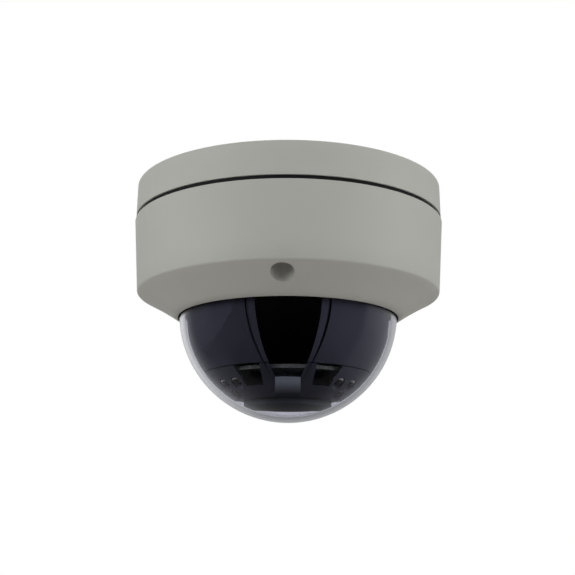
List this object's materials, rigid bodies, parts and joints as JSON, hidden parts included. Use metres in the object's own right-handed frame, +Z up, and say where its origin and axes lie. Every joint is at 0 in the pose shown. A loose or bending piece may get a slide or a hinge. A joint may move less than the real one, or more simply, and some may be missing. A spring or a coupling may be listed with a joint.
{
  "type": "dome cctv camera",
  "caption": "Ceiling dome camera: round cast housing, clear dome bubble and an eyeball camera that pans, tilts and turns behind it.",
  "frame": {"origin": "centre of the mounting face, on the ceiling, on the camera's vertical axis", "axes": "+Z up into the ceiling, so the dome hangs towards -Z; -Y is the camera's front; X is the tilt axis at rest"},
  "size_m": [0.145, 0.145, 0.11],
  "materials": {
    "black_anodised": "black anodised aluminium",
    "black_plastic": "black moulded plastic",
    "black_rubber": "matt black rubber",
    "brass": "brass",
    "button_red": "red moulded plastic",
    "capacitor_silver": "drawn aluminium can",
    "cast_grey": "light warm-grey fine-texture powder coat on die-cast aluminium",
    "chip_black": "black epoxy package",
    "circuit_green": "green solder mask on glass-epoxy board",
    "clear_dome": "clear polycarbonate, polished",
    "dark_steel": "black oxide steel",
    "filter_glass": "coated filter glass",
    "frosted_window": "frosted translucent plastic",
    "lamp_board_grey": "greenish-grey solder mask, pale yellow edges",
    "lead_black": "black insulation",
    "led_clear": "water-clear epoxy",
    "lens_glass": "coated optical glass",
    "nylon": "natural nylon",
    "plug_white": "cream nylon",
    "shroud_charcoal": "charcoal semi-gloss moulded plastic",
    "terminal_green": "green moulded terminal",
    "zinc_steel": "zinc-plated steel"
  },
  "bodies": {
    "base": {"mounting_base": "cast_grey", "cable_grommet": "black_rubber", "base_gasket": "black_rubber", "main_board": "circuit_green", "power_board": "circuit_green", "board_screws": "zinc_steel", "power_capacitors": "capacitor_silver", "power_terminal": "terminal_green", "main_chips": "chip_black", "base_plug": "plug_white", "reset_switch": "black_plastic", "pan_ring": "black_plastic", "pan_ring_screws": "zinc_steel", "pan_keepers": "zinc_steel", "keeper_screws": "zinc_steel", "camera_lead": "lead_black"},
    "reset": {"reset_button": "button_red"},
    "cover": {"cover_shell": "cast_grey", "cover_screws": "zinc_steel", "screw_retainers": "nylon", "dome_bubble": "clear_dome", "dome_gasket": "black_rubber", "clamp_ring": "zinc_steel", "clamp_screws": "zinc_steel"},
    "yoke": {"pan_yoke": "dark_steel"},
    "ball": {"inner_shroud": "shroud_charcoal", "tilt_washers": "nylon", "tilt_screws": "zinc_steel", "camera_carrier": "black_plastic", "core_clips": "black_plastic", "lamp_board": "lamp_board_grey", "lamp_cover": "shroud_charcoal", "sensor_window": "frosted_window", "lamp_stays": "black_anodised", "lamp_screws": "dark_steel", "infrared_leds": "led_clear", "light_sensor": "led_clear", "lens_hood": "black_rubber", "lamp_lead": "lead_black"},
    "core": {"core_plate": "black_plastic", "sensor_board": "circuit_green", "processor_board": "circuit_green", "core_posts": "brass", "core_screws": "zinc_steel", "image_sensor": "chip_black", "lens_mount": "black_plastic", "processor_chip": "chip_black", "chip_cooler": "black_anodised", "core_plug": "plug_white", "lens_barrel": "black_anodised"},
    "filter": {"filter_frame": "black_plastic", "filter_glass": "filter_glass"},
    "zoom_grip": {"zoom_ring": "black_anodised", "zoom_lock_screw": "dark_steel"},
    "zoom_group": {"zoom_cell": "black_anodised", "zoom_lens": "lens_glass"},
    "focus_grip": {"focus_ring": "black_anodised", "focus_lock_screw": "dark_steel"},
    "focus_group": {"focus_cell": "black_anodised", "front_lens": "lens_glass"}
  },
  "joints": [
    {"name": "cover_drop", "type": "slide", "parent": "base", "child": "cover", "axis": [0, 0, -1], "range_m": [0, 0.1]},
    {"name": "reset_press", "type": "slide", "parent": "base", "child": "reset", "axis": [0, 0, 1], "range_m": [0, 0.0003], "stiffness_N_per_m": 900, "springref_m": -0.0005},
    {"name": "pan", "type": "hinge", "parent": "base", "child": "yoke", "pos_m": [0, 0, -0.0592], "axis": [0, 0, 1], "range_deg": [-175, 175]},
    {"name": "tilt", "type": "hinge", "parent": "yoke", "child": "ball", "pos_m": [0, 0, -0.0592], "axis": [-1, 0, 0], "range_deg": [0, 75], "deforming": ["camera_lead"]},
    {"name": "head_turn", "type": "hinge", "parent": "ball", "child": "core", "pos_m": [0, 0, -0.0592], "axis": [0, 0, 1], "range_deg": [-168, 168], "deforming": ["lamp_lead"]},
    {"name": "filter_slide", "type": "slide", "parent": "core", "child": "filter", "axis": [-1, 0, 0], "range_m": [0, 0.007]},
    {"name": "zoom", "type": "hinge", "parent": "core", "child": "zoom_grip", "pos_m": [0, 0, -0.0592], "axis": [0, 0, 1], "range_deg": [-40, 40]},
    {"name": "zoom_move", "type": "slide", "parent": "core", "child": "zoom_group", "axis": [0, 0, 1], "range_m": [-0.0024, 0.0024]},
    {"name": "focus", "type": "hinge", "parent": "core", "child": "focus_grip", "pos_m": [0, 0, -0.0592], "axis": [0, 0, 1], "range_deg": [-45, 45]},
    {"name": "focus_move", "type": "slide", "parent": "core", "child": "focus_group", "axis": [0, 0, 1], "range_m": [-0.00094, 0.00094]}
  ],
  "couplings": [
    {"joint": "zoom", "follows": "zoom_move", "rad_per_m": 285.71},
    {"joint": "focus", "follows": "focus_move", "rad_per_m": 833.33}
  ]
}
